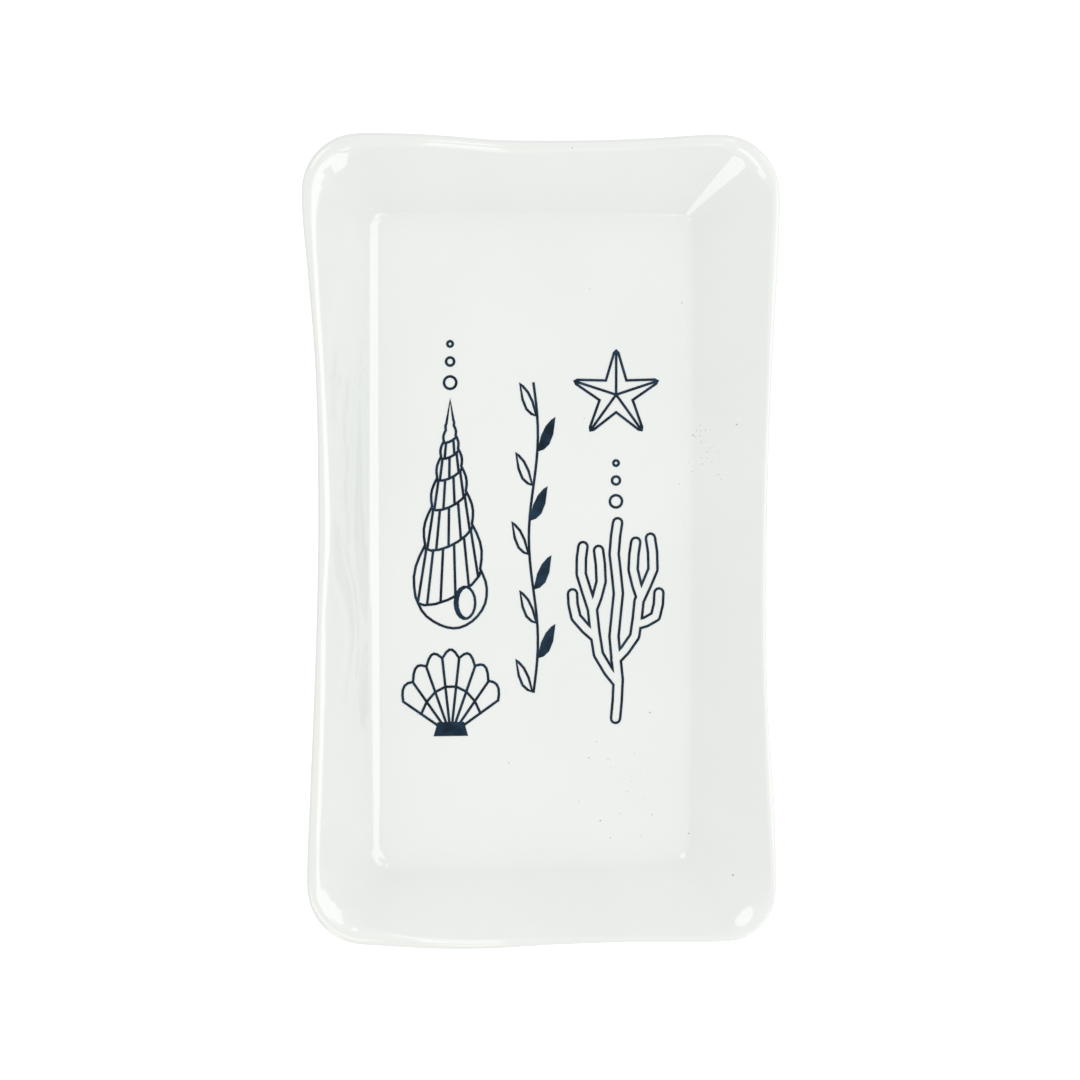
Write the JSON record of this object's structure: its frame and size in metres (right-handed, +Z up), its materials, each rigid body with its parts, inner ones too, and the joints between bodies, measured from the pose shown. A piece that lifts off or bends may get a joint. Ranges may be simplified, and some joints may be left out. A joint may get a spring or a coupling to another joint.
{
  "type": "rectangular fish plate",
  "caption": "Rectangular white glazed serving dish for fish, with sloping walls, a gently waved rim, a low foot ring and a dark blue seaside line print on its floor.",
  "frame": {"origin": "on the table, under the middle of the rim's bounding box", "axes": "+X towards the right-hand long side, +Y towards the far short side, +Z up out of the dish"},
  "size_m": [0.175, 0.2996, 0.03],
  "materials": {
    "glaze": "gloss",
    "ink": "gloss"
  },
  "bodies": {
    "root": {"dish": "glaze", "print_fan_shell": "ink", "print_screw_shell": "ink", "print_coral": "ink", "print_sea_star": "ink", "print_weed": "ink", "print_left_bubble_1": "ink", "print_left_bubble_2": "ink", "print_left_bubble_3": "ink", "print_right_bubble_1": "ink", "print_right_bubble_2": "ink", "print_right_bubble_3": "ink"}
  },
  "joints": []
}
